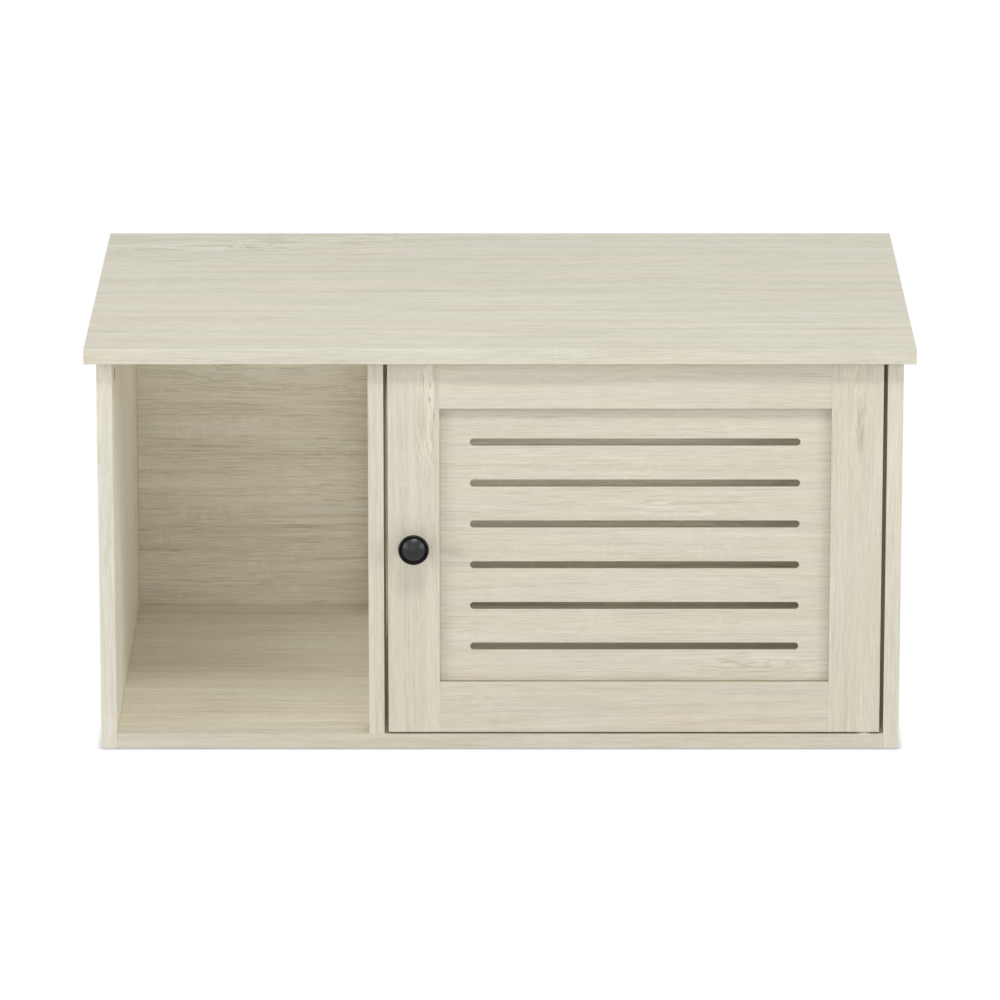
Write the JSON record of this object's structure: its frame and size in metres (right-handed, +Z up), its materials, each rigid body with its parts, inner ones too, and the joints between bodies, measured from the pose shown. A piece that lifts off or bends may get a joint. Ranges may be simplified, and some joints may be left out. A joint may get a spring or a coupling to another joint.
{
  "type": "cat litter box cabinet",
  "caption": "Low flat-pack cabinet that hides a cat litter box: open entry compartment, divider with a cat doorway, and an inset slotted door with a knob on hidden pivot pins.",
  "frame": {"origin": "middle of the carcass's footprint, on the floor, at the underside of the bottom panel", "axes": "+Z up; -Y out of the front, where the door and the open compartment are; +X towards the door's hinge side"},
  "size_m": [0.8, 0.51, 0.404],
  "materials": {
    "oak_laminate": "pale oak laminate on particle board, satin",
    "black_knob": "satin black paint",
    "plated_steel": "zinc plated",
    "zinc_cam": "die-cast zinc alloy",
    "beech": "bare beech",
    "white_nylon": "moulded nylon",
    "catch_plastic": "moulded, satin",
    "magnet": "ferrite between steel pole plates"
  },
  "bodies": {
    "cabinet": {"top_panel": "oak_laminate", "left_side_panel": "oak_laminate", "right_side_panel": "oak_laminate", "divider_panel": "oak_laminate", "bottom_panel": "oak_laminate", "back_panel": "oak_laminate", "lower_pivot_bush": "white_nylon", "upper_pivot_bush": "white_nylon", "catch_housing": "catch_plastic", "catch_magnet": "magnet", "catch_screw_left": "plated_steel", "catch_screw_right": "plated_steel", "left_top_front_cam_lock": "zinc_cam", "left_top_front_cam_bolt": "plated_steel", "left_top_rear_cam_lock": "zinc_cam", "left_top_rear_cam_bolt": "plated_steel", "right_top_front_cam_lock": "zinc_cam", "right_top_front_cam_bolt": "plated_steel", "right_top_rear_cam_lock": "zinc_cam", "right_top_rear_cam_bolt": "plated_steel", "divider_top_front_cam_lock": "zinc_cam", "divider_top_front_cam_bolt": "plated_steel", "divider_top_rear_cam_lock": "zinc_cam", "divider_top_rear_cam_bolt": "plated_steel", "left_bottom_front_cam_lock": "zinc_cam", "left_bottom_front_cam_bolt": "plated_steel", "left_bottom_rear_cam_lock": "zinc_cam", "left_bottom_rear_cam_bolt": "plated_steel", "right_bottom_front_cam_lock": "zinc_cam", "right_bottom_front_cam_bolt": "plated_steel", "right_bottom_rear_cam_lock": "zinc_cam", "right_bottom_rear_cam_bolt": "plated_steel", "left_back_lower_cam_lock": "zinc_cam", "left_back_lower_cam_bolt": "plated_steel", "left_back_upper_cam_lock": "zinc_cam", "left_back_upper_cam_bolt": "plated_steel", "right_back_lower_cam_lock": "zinc_cam", "right_back_lower_cam_bolt": "plated_steel", "right_back_upper_cam_lock": "zinc_cam", "right_back_upper_cam_bolt": "plated_steel", "left_top_dowel": "beech", "right_top_dowel": "beech", "left_bottom_dowel": "beech", "right_bottom_dowel": "beech", "divider_bottom_front_dowel": "beech", "divider_bottom_rear_dowel": "beech"},
    "door": {"door_hinge_stile": "oak_laminate", "door_knob_stile": "oak_laminate", "door_top_rail": "oak_laminate", "door_bottom_rail": "oak_laminate", "door_slotted_panel": "oak_laminate", "door_knob": "black_knob", "door_knob_screw": "plated_steel", "lower_pivot_pin": "plated_steel", "upper_pivot_pin": "plated_steel", "strike_plate": "plated_steel", "strike_screw": "plated_steel"}
  },
  "joints": [
    {"name": "door_swing", "type": "hinge", "parent": "cabinet", "child": "door", "pos_m": [0.3545, -0.2305, 0.202], "axis": [0, 0, 1], "range_deg": [0, 130]}
  ]
}
